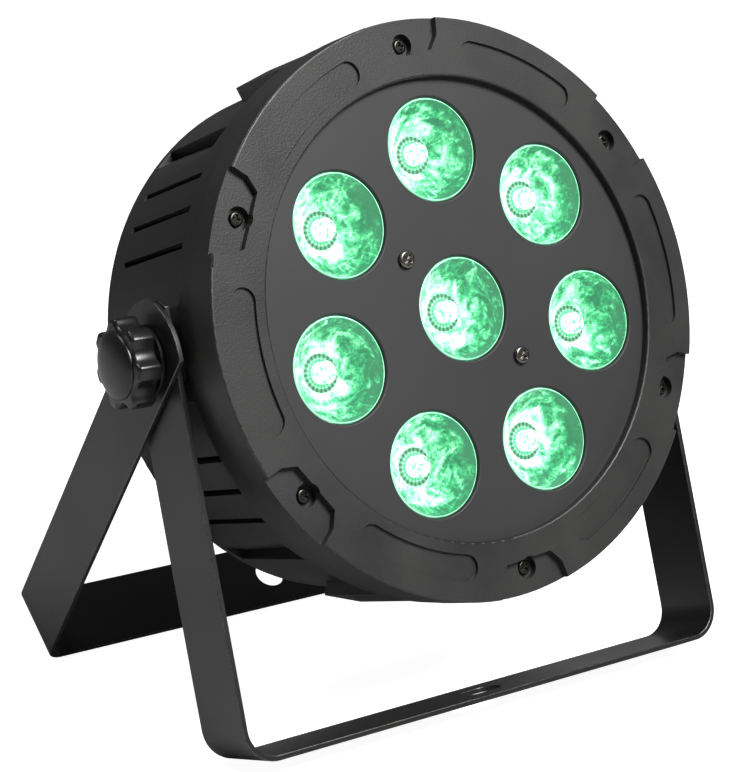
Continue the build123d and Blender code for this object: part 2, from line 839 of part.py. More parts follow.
def make_fuse_holder():
    """Round panel fuse holder, bored for its cap."""
    face = cover_end + fuse_flange_thickness
    body = disc(fuse_radius, cover_end - fuse_length, cover_end) + disc(fuse_flange_radius, cover_end, face)
    bore = disc(fuse_cap_radius + fuse_turn_gap, face - fuse_cap_length - past, face + past)
    return Pos(fuse_x, inlet_row, 0) * (body - bore)


def make_fuse_cap():
    """Quarter-turn cap with a coin slot."""
    face = cover_end + fuse_flange_thickness
    top = face + fuse_cap_proud
    head = disc(fuse_cap_radius + fuse_cap_lip, face + fuse_cap_gap, top)
    head = fillet(head.faces().sort_by(Axis.Z)[-1].edges(), small_round)
    cap = head + disc(fuse_cap_radius, face - fuse_cap_length, face + fuse_cap_gap)
    slot = block(2 * (fuse_cap_radius - past), coin_slot_width, top - coin_slot_depth, top + past)
    return Pos(fuse_x, inlet_row, 0) * (cap - slot)


def make_safety_eye():
    """Steel eye for a safety rope: a ring on a foot, screwed into the rear cover."""
    foot = disc(eye_foot_radius, cover_end, cover_end + eye_foot_thickness)
    ring = Pos(0, 0, cover_end + eye_sunk + eye_radius) * Rot(0, 90, 0) * Torus(eye_radius, eye_rod)
    shank = disc(eye_rod, shell_end - eye_boss + past, cover_end)
    above = disc(2 * eye_radius, cover_end + past, cover_end + 4 * eye_radius)
    return Pos(0, eye_row, 0) * (foot + (ring & above) + shank)


def make_standoffs():
    """Brass spacers between the LED board and the front plate, bored for the plate's screws."""
    post = tube(standoff_radius, screw_radius, plate_thickness, board_face)
    return [clock(angle, plate_screw_radius) * post for angle in plate_screw_clocks]


def make_bezel_screws():
    face = counterbore_floor - screw_head_height
    screw = pan_screw(screw_head_radius, screw_head_height, screw_radius, screw_length, face)
    screws = []
    for index, angle in enumerate(bezel_screw_clocks()):
        place = clock(angle, bezel_screw_radius) * Rot(0, 0, screw_turn_step * index)
        screws.append(place * screw)
    return screws


def make_plate_screws():
    screw = pan_screw(plate_screw_head_radius, plate_screw_head_height, screw_radius,
                      plate_screw_length, -plate_screw_head_height)
    return [clock(angle, plate_screw_radius) * screw for angle in plate_screw_clocks]


def make_cover_screws():
    screw = mirrored_screw(screw_head_radius, screw_head_height, screw_radius, screw_length, cover_end)
    return [clock(angle, cover_screw_radius) * screw for angle in cover_screw_clocks()]


def make_sink_screws():
    screw = mirrored_screw(screw_head_radius, screw_head_height, screw_radius, sink_screw_length,
                           sink_back + screw_head_height)
    return [clock(angle, sink_post_radius) * screw for angle in sink_post_clocks]


def make_board_screws():
    """Screws of the driver board, from behind, and of the control board, from in front."""
    driver = mirrored_screw(screw_head_radius, screw_head_height, screw_radius, screw_length,
                            driver_back + screw_head_height)
    control = pan_screw(screw_head_radius, screw_head_height, screw_radius, control_screw_length,
                        control_face - screw_head_height)
    screws = [Pos(x, y, 0) * driver for x, y in driver_corners()]
    return screws + [Pos(x, y, 0) * control for x, y in control_corners()]


def make_connector_screws():
    screw = mirrored_screw(screw_head_radius, screw_head_height, screw_radius, connector_screw_length,
                           cover_end + dmx_flange_thickness + screw_head_height)
    return [Pos(x + side * dmx_screw_x, dmx_row - side * dmx_screw_y, 0) * screw
            for x in (-dmx_offset, dmx_offset) for side in (1, -1)]


def make_pivot_inserts():
    """Threaded brass inserts in the pivot pads."""
    ring = tube(insert_radius, stud_radius + stud_gap, inner_pad_face - insert_length, inner_pad_face)
    return [pivot_place(side) * ring for side in (1, -1)]


def make_friction_washers():
    """Thick fibre washers between the pivot pads and the front bracket's legs."""
    ring = tube(spacer_radius, stud_radius + stud_gap, inner_pad_face, spacer_face)
    return [pivot_place(side) * ring for side in (1, -1)]


def bracket_blank(half_width, leg, bend):
    """Bent strip: a U in the XZ plane, its ends crowned above the pivot at the origin."""
    top = leg_crown_reach + past
    inner_width = half_width - sheet
    inner_leg = leg - sheet
    outside = FilletPolyline((-half_width, top), (-half_width, -leg), (half_width, -leg), (half_width, top),
                             radius=bend)
    inside = FilletPolyline((inner_width, top), (inner_width, -inner_leg), (-inner_width, -inner_leg),
                            (-inner_width, top), radius=bend - sheet)
    ends = [Line((half_width, top), (inner_width, top)), Line((-inner_width, top), (-half_width, top))]
    strip = extrude(make_face(Curve() + [outside, ends[0], inside, ends[1]]), half_bar, both=True)
    crown = Curve() + [
        Polyline((-half_bar, leg_corner_reach), (-half_bar, -leg - past), (half_bar, -leg - past),
                 (half_bar, leg_corner_reach)),
        ThreePointArc((half_bar, leg_corner_reach), (0, leg_crown_reach), (-half_bar, leg_corner_reach))]
    side_view = Rot(0, 90, 0) * extrude(Rot(0, 0, 90) * make_face(crown), half_width + past, both=True)
    strip = Rot(90, 0, 0) * strip
    pivot_hole = Rot(0, 90, 0) * Cylinder(stud_radius + stud_gap, 2 * (half_width + past))
    return (strip & side_view) - pivot_hole


def make_front_bracket():
    """Inner hoop with a long slot in its bar."""
    slot = extrude(SlotOverall(slot_length, slot_width), leg_crown_reach)
    return bracket_blank(front_half_width, front_leg, front_bend) - Pos(0, 0, -front_leg - past) * slot


def make_rear_bracket():
    """Outer hoop with a round hole in its bar for a hanging bolt."""
    hole = Pos(0, 0, -rear_leg - past) * extrude(Circle(hang_hole_radius), leg_crown_reach)
    return bracket_blank(rear_half_width, rear_leg, rear_bend) - hole


def make_knob():
    """Seven-lobed star knob with a short hub behind it and a domed face."""
    valley = Circle(knob_valley_radius)
    star = Circle(knob_radius)
    for index in range(knob_lobes):
        star -= Rot(0, 0, 360 / knob_lobes * index) * Pos(knob_valley_reach, 0, 0) * valley
    star = fillet(star.vertices(), knob_round)
    base = knob_base + knob_hub_length
    top = base + knob_star_length
    body = Pos(0, 0, base) * extrude(star, knob_star_length)
    body = fillet(body.faces().sort_by(Axis.Z)[-1].edges(), knob_face_round)
    sphere_radius = (knob_dome_radius ** 2 + knob_dome_height ** 2) / (2 * knob_dome_height)
    cap = Pos(0, 0, top + knob_dome_height - sphere_radius) * Sphere(sphere_radius)
    cap = cap & disc(knob_dome_radius, top, top + knob_dome_height)
    hub = disc(knob_hub_radius, knob_base, base)
    return body + cap + hub - disc(stud_radius, knob_base - past, knob_base + stud_grip)


def make_knob_stud():
    """Threaded steel stud moulded into the knob."""
    return disc(stud_radius, stud_tip, knob_base + stud_grip)


def make_knob_washer():
    """Captive steel washer under the knob."""
    return tube(knob_washer_radius, stud_radius + stud_gap, knob_washer_face, knob_base)


def placed(shape, place):
    """Move a solid, or each solid of a group, and give one shape."""
    solids = shape if isinstance(shape, list) else [shape]
    moved = [place * solid for solid in solids]
    return moved[0] if len(moved) == 1 else Compound(moved)


tilt = radians(head_tilt)
head_origin = (0, -pivot_depth * cos(tilt), pivot_height + pivot_depth * sin(tilt))
head_place = Plane(origin=head_origin, x_dir=(-1, 0, 0), z_dir=(0, cos(tilt), -sin(tilt))).location
pivot_centre = Pos(0, 0, pivot_height)


def knob_place(side):
    """Frame at the brackets' pivot: its Z runs outwards on one side."""
    return Plane(origin=(0, 0, pivot_height), x_dir=(0, 1, 0), z_dir=(side, 0, 0)).location


head_parts = {
    "housing": make_housing(), "bezel": make_bezel(), "front_plate": make_front_plate(),
    "led_board": make_led_board(), "led_emitters": make_emitters(), "heat_sink": make_heat_sink(),
    "driver_board": make_driver_board(), "transformer": make_transformer(), "capacitors": make_capacitors(),
    "control_board": make_control_board(), "display_module": make_display(),
    "display_window": make_display_window(), "rear_cover": make_rear_cover(),
    "dmx_inlet": make_dmx_inlet(), "dmx_inlet_pins": make_dmx_pins(), "dmx_outlet": make_dmx_outlet(),
    "outlet_latch": make_latch(), "mains_inlet": make_mains_inlet(), "mains_inlet_pins": make_mains_pins(),
    "fuse_holder": make_fuse_holder(), "fuse_cap": make_fuse_cap(), "safety_eye": make_safety_eye(),
    "plate_standoffs": make_standoffs(), "bezel_screws": make_bezel_screws(),
    "plate_screws": make_plate_screws(), "cover_screws": make_cover_screws(),
    "heat_sink_screws": make_sink_screws(), "board_screws": make_board_screws(),
    "connector_screws": make_connector_screws(), "pivot_inserts": make_pivot_inserts(),
    "friction_washers": make_friction_washers()}
for number, (angle, radius) in enumerate(lens_places, start=1):
    head_parts[f"lens_{number}"] = clock(angle, radius) * make_lens()
    head_parts[f"lens_holder_{number}"] = clock(angle, radius) * make_lens_holder()
for number, x in enumerate(button_offsets, start=1):
    head_parts[f"menu_button_{number}"] = Pos(x, button_row, 0) * make_button()

parts = {name: placed(shape, head_place) for name, shape in head_parts.items()}
parts["front_bracket"] = pivot_centre * Rot(-front_lean, 0, 0) * make_front_bracket()
parts["rear_bracket"] = pivot_centre * Rot(rear_lean, 0, 0) * make_rear_bracket()
for side, name in ((-1, "left"), (1, "right")):
    parts[f"{name}_knob"] = knob_place(side) * make_knob()
    parts[f"{name}_knob_stud"] = knob_place(side) * make_knob_stud()
    parts[f"{name}_knob_washer"] = knob_place(side) * make_knob_washer()

whole = Compound(list(parts.values())).bounding_box()
to_middle = Pos(0, -(whole.min.Y + whole.max.Y) / 2, 0)
os.makedirs("parts", exist_ok=True)
for name, shape in parts.items():
    parts[name] = to_middle * shape
    export_step(parts[name], f"parts/{name}.step")
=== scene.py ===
import json
import random
from math import atan2, cos, hypot, pi, radians, sin

import bmesh
import bpy
from mathutils import Matrix, Vector

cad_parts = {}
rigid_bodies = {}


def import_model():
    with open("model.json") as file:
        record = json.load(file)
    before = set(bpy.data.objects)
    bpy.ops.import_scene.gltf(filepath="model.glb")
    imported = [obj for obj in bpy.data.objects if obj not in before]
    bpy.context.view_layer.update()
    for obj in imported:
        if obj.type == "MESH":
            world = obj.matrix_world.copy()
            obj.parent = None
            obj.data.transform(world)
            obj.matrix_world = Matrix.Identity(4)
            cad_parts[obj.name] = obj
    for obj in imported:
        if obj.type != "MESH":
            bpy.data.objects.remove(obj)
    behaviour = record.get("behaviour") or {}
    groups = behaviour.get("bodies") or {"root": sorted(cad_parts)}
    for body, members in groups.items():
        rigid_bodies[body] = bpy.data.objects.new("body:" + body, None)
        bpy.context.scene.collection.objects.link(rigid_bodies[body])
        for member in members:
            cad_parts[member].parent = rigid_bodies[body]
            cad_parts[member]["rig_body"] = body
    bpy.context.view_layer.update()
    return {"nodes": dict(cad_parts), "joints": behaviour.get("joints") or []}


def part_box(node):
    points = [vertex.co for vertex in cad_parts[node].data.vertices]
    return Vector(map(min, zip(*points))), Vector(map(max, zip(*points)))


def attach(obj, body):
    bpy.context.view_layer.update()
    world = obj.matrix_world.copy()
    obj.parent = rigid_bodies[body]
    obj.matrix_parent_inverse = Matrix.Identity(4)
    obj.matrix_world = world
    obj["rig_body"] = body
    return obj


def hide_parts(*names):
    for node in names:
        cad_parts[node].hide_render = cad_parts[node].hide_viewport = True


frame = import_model()
nodes = frame["nodes"]

# ---- The lamp head's own frame ----
# The head is a drum that hangs between its brackets, tipped upwards. Its pieces are drawn in mm with
# Z running backwards from the front plate's face and Y towards the top, then put where the frame says.
mm = 0.001
plate_thickness = 2.0

swing = next(joint for joint in frame["joints"] if joint["name"] == "front_bracket_swing")
pivot = Vector(swing["pos_m"])
plate_low, plate_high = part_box("front_plate")
plate_middle = (plate_low + plate_high) / 2
forwards = (plate_middle - pivot).normalized()
head_origin = plate_middle + forwards * plate_thickness / 2 * mm
across = Vector((-1, 0, 0))
head = Matrix((across, (-forwards).cross(across), -forwards)).transposed().to_4x4()
head = Matrix.Translation(head_origin) @ head @ Matrix.Scale(mm, 4)


def settle(shape, name, materials, place=Matrix.Identity(4), smooth=35):
    """Make an object of a shape, with its place in its mesh and its faces turned outwards."""
    bmesh.ops.transform(shape, matrix=place, verts=shape.verts)
    bmesh.ops.remove_doubles(shape, verts=shape.verts, dist=0.001 * mm)
    bmesh.ops.recalc_face_normals(shape, faces=shape.faces)
    mesh = bpy.data.meshes.new(name)
    shape.to_mesh(mesh)
    shape.free()
    for material in materials:
        mesh.materials.append(material)
    mesh.shade_smooth()
    mesh.set_sharp_from_angle(angle=radians(smooth))
    piece = bpy.data.objects.new(name, mesh)
    bpy.context.scene.collection.objects.link(piece)
    return piece


def linear(hex_colour):
    """An sRGB hex colour as linear red, green and blue."""
    parts = [int(hex_colour[i:i + 2], 16) / 255 for i in (1, 3, 5)]
    return tuple(c / 12.92 if c <= 0.04045 else ((c + 0.055) / 1.055) ** 2.4 for c in parts) + (1.0,)


def add(tree, kind, settings, feeds):
    """Add a node with its settings, and feed its sockets with values or other sockets."""
    node = tree.nodes.new(kind)
    for name, value in settings.items():
        setattr(node, name, value)
    for name, value in feeds.items():
        if isinstance(value, bpy.types.NodeSocket):
            tree.links.new(value, node.inputs[name])
        else:
            node.inputs[name].default_value = value
    return node


def new_finish(name, roughness, metallic=0.0, **sockets):
    """Start a material: its tree, its shader with the uniform values set, and its object coordinates."""
    material = bpy.data.materials.new(name)
    material.use_nodes = True
    tree = material.node_tree
    shader = tree.nodes["Principled BSDF"]
    shader.inputs["Roughness"].default_value = roughness
    shader.inputs["Metallic"].default_value = metallic
    for socket, value in sockets.items():
        shader.inputs[socket.replace("_", " ")].default_value = value
    place = add(tree, "ShaderNodeTexCoord", {}, {}).outputs["Object"]
    return material, tree, shader, place


def ramp(tree, factor, stops):
    """Colours along a factor."""
    node = add(tree, "ShaderNodeValToRGB", {}, {"Fac": factor})
    points = node.color_ramp.elements
    while len(points) < len(stops):
        points.new(0.5)
    for point, (position, colour) in zip(points, stops):
        point.position = position
        point.color = linear(colour)
    return node.outputs["Color"]


def moulded_plastic(name, dark, light, grain, depth, roughness, spread=0.12):
    """Black plastic from a spark-eroded or etched mould: fine cells whose raised tops are painted paler, a
    painted highlight.

    The eye gets a dull skin with a soft sheen, a little uneven over a few centimetres."""
    fine_share = 0.6
    cloud_size = 1000 / 28
    material, tree, shader, place = new_finish(name, roughness)
    cells = add(tree, "ShaderNodeTexVoronoi", {"feature": "F1"}, {"Vector": place, "Scale": 1 / (grain * mm)})
    fine = add(tree, "ShaderNodeTexNoise", {},
               {"Vector": place, "Scale": 1 / (grain * fine_share * mm), "Detail": 3.0})
    cloud = add(tree, "ShaderNodeTexNoise", {},
                {"Vector": place, "Scale": 1 / (cloud_size * mm), "Detail": 4.0})
    height = add(tree, "ShaderNodeMath", {"operation": "MULTIPLY_ADD"},
                 {0: fine.outputs["Fac"], 1: 0.6, 2: cells.outputs["Distance"]})
    bump = add(tree, "ShaderNodeBump", {}, {"Strength": 0.7, "Distance": depth * mm,
                                            "Height": height.outputs["Value"]})
    # The tone is paler on the raised cell tops, a painted highlight as if light caught the grain. The cloud
    # adds random tone.
    tone = add(tree, "ShaderNodeMath", {"operation": "MULTIPLY_ADD"},
               {0: cells.outputs["Distance"], 1: 0.35, 2: cloud.outputs["Fac"]})
    colour = ramp(tree, tone.outputs["Value"], [(0.35, dark), (0.85, light)])
    gloss = add(tree, "ShaderNodeMapRange", {},
                {"Value": cloud.outputs["Fac"], "From Min": 0.3, "From Max": 0.7,
                 "To Min": roughness - spread / 2, "To Max": roughness + spread / 2})
    tree.links.new(colour, shader.inputs["Base Color"])
    tree.links.new(gloss.outputs["Result"], shader.inputs["Roughness"])
    tree.links.new(bump.outputs["Normal"], shader.inputs["Normal"])
    return material


def moulding(node, material, edge, crease=32, segments=2, rim=None):
    """A CAD node's shape as one skin, with its flats joined, its edges rounded and its curves smooth.

    A rim is a second material for the rounded edges."""
    seam = 0.002
    flat = radians(0.6)
    shape = bmesh.new()
    shape.from_mesh(nodes[node].data)
    bmesh.ops.remove_doubles(shape, verts=shape.verts, dist=seam * mm)
    bmesh.ops.dissolve_limit(shape, angle_limit=flat, verts=shape.verts, edges=shape.edges)
    piece = settle(shape, node + "_skin", [material] + ([rim] if rim else []), smooth=crease)
    if edge:
        soften = piece.modifiers.new("edges", "BEVEL")
        soften.width = edge * mm
        soften.segments = segments
        soften.limit_method = "ANGLE"
        soften.angle_limit = radians(crease)
        soften.material = 1 if rim else -1
    flatten = piece.modifiers.new("flats", "WEIGHTED_NORMAL")
    flatten.keep_sharp = True
    flatten.weight = 100
    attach(piece, nodes[node]["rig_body"])
    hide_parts(node)
    return piece


def dress(names, material):
    """Give CAD nodes whose shape is right a material of their own."""
    for name in names:
        nodes[name].data.materials.clear()
        nodes[name].data.materials.append(material)


def numbered(stem, count):
    return [f"{stem}_{number}" for number in range(1, count + 1)]


# ---- Housing ----
# The drum is one injection moulding in black flame-proof ABS. Its mould was spark-eroded, so the skin is
# an even fine matt grain. Vents, scoops, lugs and the pivot pads are moulded with it.
abs_fine = moulded_plastic("abs_spark_eroded_moulding", "#0e0e0e", "#181817", 0.55, 0.05, 0.48)
moulding("housing", abs_fine, 0.25)

# ---- Bezel ----
# A separate ring in the same ABS, from a mould etched like leather. Six screws pull it onto the drum.
# The eye gets a pebbled grain whose tops are painted pale: a painted highlight standing for light raking the
# grain.
abs_leather = moulded_plastic("abs_leather_grain_moulding", "#121212", "#1d1d1c", 0.75, 0.045, 0.47)
moulding("bezel", abs_leather, 0.35, segments=3)

# ---- Front plate ----
# Pressed aluminium sheet with eight windows, painted with a matt structured powder. It reads as flat
# dark grey, with a faint sparkle of the powder's grain.
plate_paint, tree, shader, place = new_finish("aluminium_structured_powder_paint", 0.55)
speck = add(tree, "ShaderNodeTexNoise", {}, {"Vector": place, "Scale": 1 / (0.35 * mm), "Detail": 2.0})
haze = add(tree, "ShaderNodeTexNoise", {}, {"Vector": place, "Scale": 14.0, "Detail": 3.0})
blend = add(tree, "ShaderNodeMath", {"operation": "MULTIPLY_ADD"},
            {0: speck.outputs["Fac"], 1: 0.5, 2: haze.outputs["Fac"]})
tree.links.new(ramp(tree, blend.outputs["Value"], [(0.55, "#141415"), (0.95, "#1c1c1c")]),
               shader.inputs["Base Color"])
orange_peel = add(tree, "ShaderNodeBump", {}, {"Strength": 0.5, "Distance": 0.03 * mm,
                                               "Height": speck.outputs["Fac"]})
tree.links.new(orange_peel.outputs["Normal"], shader.inputs["Normal"])
moulding("front_plate", plate_paint, 0.12)

# ---- Lenses ----
# Eight moulded acrylic collimators, whose curved side is pebbled all over and carries the light from the
# emitter in the back well to the flat face. The eye gets a white-hot well with a marked ring round it, and
# green streaks that darken towards the rim.
aperture = 20.0
lens_count = 8
lens_step = aperture - 0.4
lens_front, flange_front, flange_back, lens_back = 0.7, 2.3, 4.3, 22.5
flange_radius = 22.6
back_radius, well_radius, well_floor = 7.5, 4.2, 15.5
rim_width, rounded, flange_gap = 0.55, 0.35, 0.05
bulge, well_wall, well_dish, well_bottom = 2.0, 0.5, 0.9, 1.3
slack = 0.01
side_steps = 14
turns = 72
pebble = 0.16


def lit_acrylic(name, stops, streak, patch, rise, power):
    """Lit acrylic wall: colour along the wall from the emitter to the rim, broken into streaks.

    One fixed side of the wall is painted whiter: a painted glare standing for the emitter's glare, which
    stays on that side from any view."""
    painted_glare_share, cloud_share, fibre_share, cell_share = -0.14, -1.9, -0.55, 0.34
    tone_start, tone_lift, cloud_size = 0.26, 0.88, 9.0
    material, tree, shader, place = new_finish(name, 0.25)
    along = add(tree, "ShaderNodeUVMap", {"uv_map": "wall"}, {}).outputs["UV"]
    split = add(tree, "ShaderNodeSeparateXYZ", {}, {"Vector": along})
    stretch = add(tree, "ShaderNodeMapping", {}, {"Vector": along, "Scale": (streak, 2.2, 1.0)})
    fibres = add(tree, "ShaderNodeTexNoise", {"noise_type": "RIDGED_MULTIFRACTAL"},
                 {"Vector": stretch.outputs["Vector"], "Scale": 1.0, "Detail": 3.0, "Roughness": 0.6})
    cells = add(tree, "ShaderNodeTexVoronoi", {"feature": "F1"}, {"Vector": place, "Scale": 1 / (patch * mm)})
    clouds = add(tree, "ShaderNodeTexNoise", {},
                 {"Vector": place, "Scale": 1 / (cloud_size * mm), "Detail": 2.0, "Distortion": 1.2})
    tone = add(tree, "ShaderNodeMath", {"operation": "MULTIPLY_ADD"},
               {0: split.outputs["Y"], 1: rise, 2: tone_start})
    # Painted glare: a cosine round each lens makes one fixed side of its wall whiter.
    turned = add(tree, "ShaderNodeMath", {"operation": "MULTIPLY"}, {0: split.outputs["X"], 1: 2 * pi})
    painted_glare = add(tree, "ShaderNodeMath", {"operation": "COSINE"}, {0: turned.outputs["Value"]})
    for source, share in ((painted_glare.outputs["Value"], painted_glare_share), (clouds.outputs["Fac"], cloud_share),
                          (fibres.outputs["Fac"], fibre_share), (cells.outputs["Color"], cell_share)):
        tone = add(tree, "ShaderNodeMath", {"operation": "MULTIPLY_ADD"},
                   {0: source, 1: share, 2: tone.outputs["Value"]})
    tone = add(tree, "ShaderNodeMath", {"operation": "ADD"}, {0: tone.outputs["Value"], 1: tone_lift})
    colour = ramp(tree, tone.outputs["Value"], stops)
    tree.links.new(colour, shader.inputs["Emission Color"])
    tree.links.new(colour, shader.inputs["Base Color"])
    shader.inputs["Emission Strength"].default_value = power
    return material


acrylic, tree, shader, place = new_finish("acrylic_clear_moulding", 0.04, IOR=1.49, Transmission_Weight=1.0)
ripple = add(tree, "ShaderNodeTexNoise", {}, {"Vector": place, "Scale": 1 / (2.5 * mm), "Detail": 1.0})
sunk = add(tree, "ShaderNodeBump", {},
           {"Strength": 0.25, "Distance": 0.05 * mm, "Height": ripple.outputs["Fac"]})
tint = ramp(tree, ripple.outputs["Fac"], [(0.3, "#f2fff6"), (0.7, "#ffffff")])
tree.links.new(tint, shader.inputs["Base Color"])
tree.links.new(sunk.outputs["Normal"], shader.inputs["Normal"])

side_glow = lit_acrylic("acrylic_pebbled_side_lit_green",
                        [(0.05, "#ffffff"), (0.22, "#e2faee"), (0.4, "#b2e9cc"), (0.54, "#7fd0a4"),
                         (0.68, "#4db17e"), (0.84, "#3c9367"), (1.0, "#347557")], 60.0, 1.2, 0.6, 0.8)
rim_glow = lit_acrylic("acrylic_rim_lit_green", [(0.0, "#a6e8c4"), (1.0, "#62b98a")], 30.0, 4.0, 0.0, 0.6)

# The well's floor is the white-hot image of the emitter, brightest in its middle.
hot_spot, tree, shader, place = new_finish("acrylic_well_white_hot", 0.2)
glare = add(tree, "ShaderNodeTexNoise", {}, {"Vector": place, "Scale": 1 / (1.6 * mm), "Detail": 2.0})
glare = ramp(tree, glare.outputs["Fac"], [(0.4, "#7fdcab"), (0.52, "#ffffff")])
tree.links.new(glare, shader.inputs["Emission Color"])
tree.links.new(glare, shader.inputs["Base Color"])
shader.inputs["Emission Strength"].default_value = 0.95

# The flat ring round the well shows the board behind it: grey-green, notched by the holder's pegs.
ring_marks, tree, shader, place = new_finish("acrylic_back_ring_marks", 0.3)
along = add(tree, "ShaderNodeUVMap", {"uv_map": "wall"}, {}).outputs["UV"]
notches = add(tree, "ShaderNodeTexWave", {"wave_type": "BANDS", "bands_direction": "X"},
              {"Vector": along, "Scale": 7.0, "Distortion": 0.6, "Detail": 1.0})
split = add(tree, "ShaderNodeSeparateXYZ", {}, {"Vector": along})
marks = ramp(tree, split.outputs["Y"],
             [(0.0, "#5fd295"), (0.3, "#7fe0aa"), (0.42, "#c9ffe2"), (0.5, "#6fae8c"), (0.62, "#6b9580"),
              (0.86, "#5b8f74"), (1.0, "#c2f7da")])
pegs = ramp(tree, notches.outputs["Fac"], [(0.35, "#a3b8ad"), (0.6, "#ffffff")])
marks = add(tree, "ShaderNodeMix", {"data_type": "RGBA", "blend_type": "MULTIPLY"},
            {0: 1.0, 6: marks, 7: pegs}).outputs[2]
tree.links.new(marks, shader.inputs["Emission Color"])
tree.links.new(marks, shader.inputs["Base Color"])
shader.inputs["Emission Strength"].default_value = 0.8

clear_index, side_index, well_index, ring_index, rim_index = range(5)
lens_finishes = [acrylic, side_glow, hot_spot, ring_marks, rim_glow]


def lens_profile():
    """Radius and depth from the middle of the face, down the side, to the middle of the well."""
    points = [(0.0, lens_front), (lens_step - rim_width, lens_front), (lens_step - rounded, lens_front),
              (lens_step, lens_front + rounded), (lens_step, flange_front), (lens_step, flange_back)]
    for step in range(1, side_steps + 1):
        share = step / side_steps
        radius = lens_step + (back_radius - lens_step) * share + bulge * sin(pi * share)
        points.append((radius, flange_back + (lens_back - flange_back) * share))
    points += [((back_radius + well_radius) / 2, lens_back), (well_radius, lens_back),
               (well_radius, well_floor), (well_radius / 2, well_floor - well_dish),
               (0.0, well_floor - well_bottom)]
    return points


def make_lens(number):
    """Spin one collimator, pebble its side, and write how far each face is along the wall."""
    rng = random.Random(number)
    name = f"lens_{number}"
    spots = [head.inverted() @ vert.co for vert in nodes[name].data.vertices]
    centre_x, centre_y = ((min(spot[axis] for spot in spots) + max(spot[axis] for spot in spots)) / 2
                          for axis in (0, 1))
    shape = bmesh.new()
    inner = lens_step + flange_gap
    flange = [(inner, flange_front), (flange_radius, flange_front), (flange_radius, flange_back),
              (inner, flange_back), (inner, flange_front)]
    for outline in (lens_profile(), flange):
        chain = [shape.verts.new((radius, 0, depth)) for radius, depth in outline]
        edges = [shape.edges.new(pair) for pair in zip(chain, chain[1:])]
        bmesh.ops.spin(shape, geom=chain + edges, cent=(0, 0, 0), axis=(0, 0, 1), angle=2 * pi, steps=turns,
                       use_merge=True)
    bmesh.ops.remove_doubles(shape, verts=shape.verts, dist=0.001)
    wall = shape.loops.layers.uv.new("wall")
    for vert in shape.verts:
        radius = hypot(vert.co.x, vert.co.y)
        on_side = flange_back + well_wall < vert.co.z < lens_back - well_wall
        if on_side and radius > well_radius + 2 * well_wall:
            swell = 1 + rng.uniform(-pebble, pebble) / radius
            vert.co.x *= swell
            vert.co.y *= swell
    for face in shape.faces:
        middle = face.calc_center_median()
        radius = hypot(middle.x, middle.y)
        at_back = middle.z > lens_back - slack
        in_rim = middle.z < lens_front + rounded + slack
        if radius < well_radius and middle.z > lens_front + 1:
            face.material_index = well_index
        elif at_back:
            face.material_index = ring_index
        elif lens_step - rim_width < radius < lens_step + slack and in_rim:
            face.material_index = rim_index
        elif well_radius + well_wall <= radius < lens_step + slack and not in_rim:
            face.material_index = side_index
        elif middle.z > flange_back and radius <= well_radius + well_wall:
            face.material_index = ring_index
        elif middle.z > flange_back:
            face.material_index = side_index
        face.smooth = face.material_index == clear_index
        for loop in face.loops:
            spot = loop.vert.co
            turn = (atan2(spot.y, spot.x) - atan2(middle.y, middle.x) + pi) % (2 * pi) - pi
            turn = (atan2(middle.y, middle.x) + turn) / (2 * pi)
            reach = hypot(spot.x, spot.y)
            if face.material_index == ring_index:
                share = (reach - well_radius) / (back_radius - well_radius) if at_back else 0.0
            else:
                share = 1 - (spot.z - flange_back) / (lens_back - flange_back)
            loop[wall].uv = (turn, share)
    piece = settle(shape, name + "_collimator", lens_finishes,
                   head @ Matrix.Translation((centre_x, centre_y, 0)), smooth=8)
    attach(piece, "head")
    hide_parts(name)


for number in range(1, lens_count + 1):
    make_lens(number)
dress(numbered("lens_holder", lens_count),
      moulded_plastic("polycarbonate_black_holder", "#121212", "#1c1c1c", 0.8, 0.03, 0.5))

# ---- Screws ----
# Pan-head cross screws in zinc-plated steel with a dark passivation. The recess is struck, so its walls
# are dull and its rim is bright. Six sit deep in the bezel, two hold the front plate.


def plated_steel(name, dark, light, roughness, scratch=0.4):
    """Plated steel: fine random handling marks break up the mirror, so it glints unevenly."""
    material, tree, shader, place = new_finish(name, roughness, metallic=1.0)
    marks = add(tree, "ShaderNodeTexNoise", {}, {"Vector": place, "Scale": 1 / (scratch * mm), "Detail": 4.0,
                                                 "Distortion": 1.5})
    tree.links.new(ramp(tree, marks.outputs["Fac"], [(0.3, dark), (0.7, light)]), shader.inputs["Base Color"])
    gloss = add(tree, "ShaderNodeMapRange", {}, {"Value": marks.outputs["Fac"], "To Min": roughness - 0.1,
                                                 "To Max": roughness + 0.14})
    tree.links.new(gloss.outputs["Result"], shader.inputs["Roughness"])
    return material


dark_zinc = plated_steel("steel_black_zinc_plate", "#54524e", "#9a968f", 0.3)
bright_zinc = plated_steel("steel_bright_zinc_plate", "#a9a8a4", "#d6d5d0", 0.25)
rubbed_zinc = plated_steel("steel_black_zinc_bright", "#2f2f2d", "#8f8c86", 0.24, scratch=0.1)
passivated = plated_steel("steel_black_passivated", "#23231f", "#55534e", 0.28, scratch=0.1)
moulding("plate_screws", rubbed_zinc, 0.12)
moulding("bezel_screws", passivated, 0.12)
for node in ("cover_screws", "connector_screws"):
    moulding(node, dark_zinc, 0.1)
dress(["heat_sink_screws", "board_screws"], bright_zinc)
